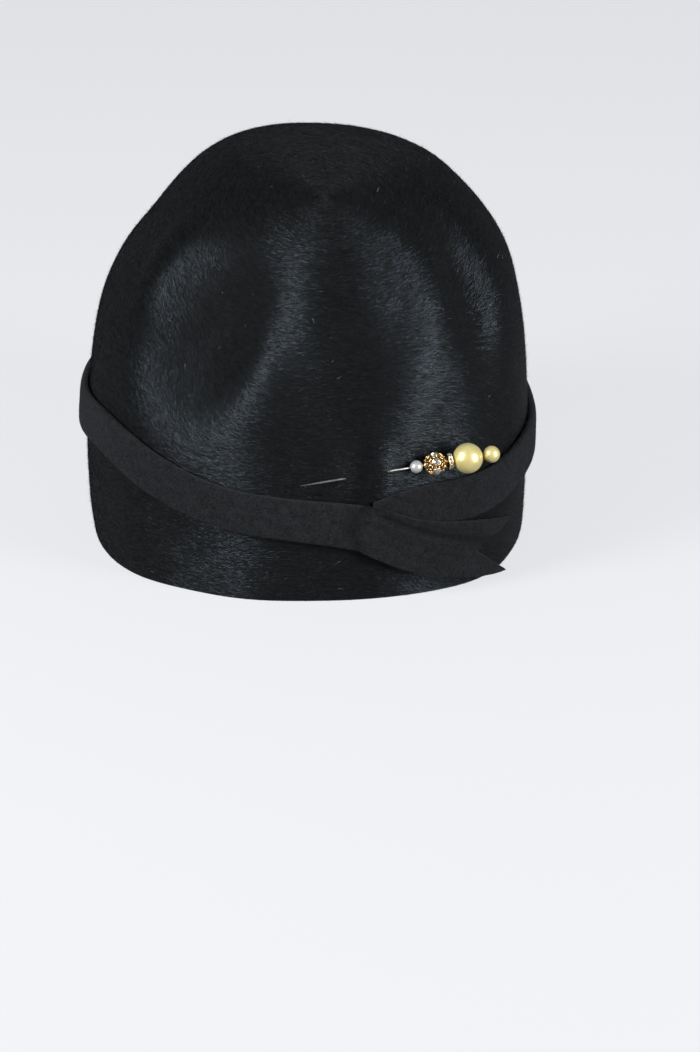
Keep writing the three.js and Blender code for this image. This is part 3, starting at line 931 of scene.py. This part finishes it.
filigree_ball = new_piece("filigree_ball", *joined(wires))
filigree_ball.data.materials.append(gold.material)
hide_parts("stone_ball")
ball_stones = new_piece("ball_stones", *joined(stones))
ball_stones.data.shade_flat()
ball_stones.data.materials.append(stone.material)

# The stone-set ring
#
# A flat ring between the ball and the large pearl: two gilt rims on a hub, pinched over a row of
# small clear stones.
RING_AT = 55.25
RING_RADIUS = 3.1
RING_STONES = 10
FIRST_STONE = 0.35
SMALL_STONE_RADIUS = 0.72
SMALL_STONE_DEPTH = 0.55
PINCH_AT = 0.55
PINCH_DEPTH = 0.4
PINCH_RADIUS = 0.24
RIM_AT = 0.62
RIM_RADIUS = 2.62
RIM_WIRE = 0.2
HUB_SIDES = 48
HUB = table(
    "along radius",
    (-0.68, BORE),
    (-0.68, 2.3),
    (-0.4675, 2.45),
    (-0.3825, 2.0),
    (0.3825, 2.0),
    (0.4675, 2.45),
    (0.68, 2.3),
    (0.68, BORE),
)
rims = [turned(RING_AT, HUB["along"], HUB["radius"], HUB_SIDES)]
for side in (-RIM_AT, RIM_AT):
    rims.append(wire_ring(on_pin(RING_AT + side, 0, 0), pin_axis, RIM_RADIUS, RIM_WIRE))
small_stones = []
for place in range(RING_STONES):
    angle = (place + FIRST_STONE) * 2 * np.pi / RING_STONES
    seat = on_pin(RING_AT, RING_RADIUS - SMALL_STONE_DEPTH, angle)
    outwards = on_pin(RING_AT, 1.0, angle) - on_pin(RING_AT, 0.0, angle)
    small_stones.append(cut_stone(seat, outwards, SMALL_STONE_RADIUS))
    between = angle + np.pi / RING_STONES
    for side in (-PINCH_AT, PINCH_AT):
        pinch = on_pin(RING_AT + side, RING_RADIUS - PINCH_DEPTH, between)
        rims.append(grain(pinch, PINCH_RADIUS))
stone_ring = new_piece("stone_ring", *joined(rims))
stone_ring.data.materials.append(gold.material)
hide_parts("stone_spacer")
ring_stones = new_piece("ring_stones", *joined(small_stones))
ring_stones.data.shade_flat()
ring_stones.data.materials.append(stone.material)

# Floor, light and camera
#
# A plain pale floor, two tall soft boxes at the sides and a dim even light all round.
FLOOR_HALF = 6.0
floor_mesh = bpy.data.meshes.new("floor")
floor_corners = [(-1, -1, 0), (1, -1, 0), (1, 1, 0), (-1, 1, 0)]
floor_mesh.from_pydata([Vector(c) * FLOOR_HALF for c in floor_corners], [], [(0, 1, 2, 3)])
floor = bpy.data.objects.new("floor", floor_mesh)
bpy.context.scene.collection.objects.link(floor)
paper = Finish(
    "pale paper", Roughness=0.9, Emission_Color=(0.96, 0.97, 1.0, 1), Emission_Strength=0.72
)
paper.feed(
    "Base Color",
    paper.blend(paper.noise(paper.place(), 3.0), (0.15, 0.155, 0.165, 1), (0.16, 0.165, 0.175, 1)),
)
floor.data.materials.append(paper.material)
floor.visible_diffuse = False
floor.visible_glossy = False

CAMERA = Vector((0.000903, 1.030171, 0.385228))
CAMERA_RIGHT = Vector((-0.9998552, 0.0170172, 0.0))
CAMERA_UP = Vector((-0.0060814, -0.3573165, 0.9339636))
FOCAL_PIXELS = 2760
LONG_SIDE = 1052
SENSOR = 36.0
camera_data = bpy.data.cameras.new("camera")
camera_data.sensor_width = SENSOR
camera_data.lens = SENSOR * FOCAL_PIXELS / LONG_SIDE
camera = bpy.data.objects.new("camera", camera_data)
bpy.context.scene.collection.objects.link(camera)
backwards = CAMERA_RIGHT.cross(CAMERA_UP)
camera.matrix_world = (
    Matrix.Translation(CAMERA)
    @ Matrix((CAMERA_RIGHT, CAMERA_UP, backwards)).transposed().to_4x4()
)
bpy.context.scene.camera = camera

HAT_MIDDLE = Vector((0.0, 0.06, 0.07))
LIGHTS = table(
    "name sideways upwards distance width height power",
    ("left soft box", -51, 10, 1.2, 0.46, 0.8, 18.5),
    ("right soft box", 56, -1, 1.2, 0.46, 0.8, 18.5),
)
for name, sideways, upwards, distance, width, height, power in zip(*LIGHTS.values()):
    light = bpy.data.lights.new(str(name), "AREA")
    light.shape = "RECTANGLE"
    light.size, light.size_y = float(width), float(height)
    light.energy = float(power)
    lamp = bpy.data.objects.new(str(name), light)
    bpy.context.scene.collection.objects.link(lamp)
    side, rise = np.radians(float(sideways)), np.radians(float(upwards))
    towards = (
        CAMERA_RIGHT * float(np.sin(side) * np.cos(rise))
        + CAMERA_UP * float(np.sin(rise))
        + backwards * float(np.cos(side) * np.cos(rise))
    )
    lamp.location = HAT_MIDDLE + towards * float(distance)
    lamp.rotation_euler = towards.to_track_quat("Z", "Y").to_euler()

world = bpy.data.worlds.new("studio")
bpy.context.scene.world = world
world.use_nodes = True
world.node_tree.nodes["Background"].inputs["Color"].default_value = (0.9, 0.93, 1.0, 1)
world.node_tree.nodes["Background"].inputs["Strength"].default_value = 0.15

bpy.context.scene.view_settings.view_transform = "Standard"
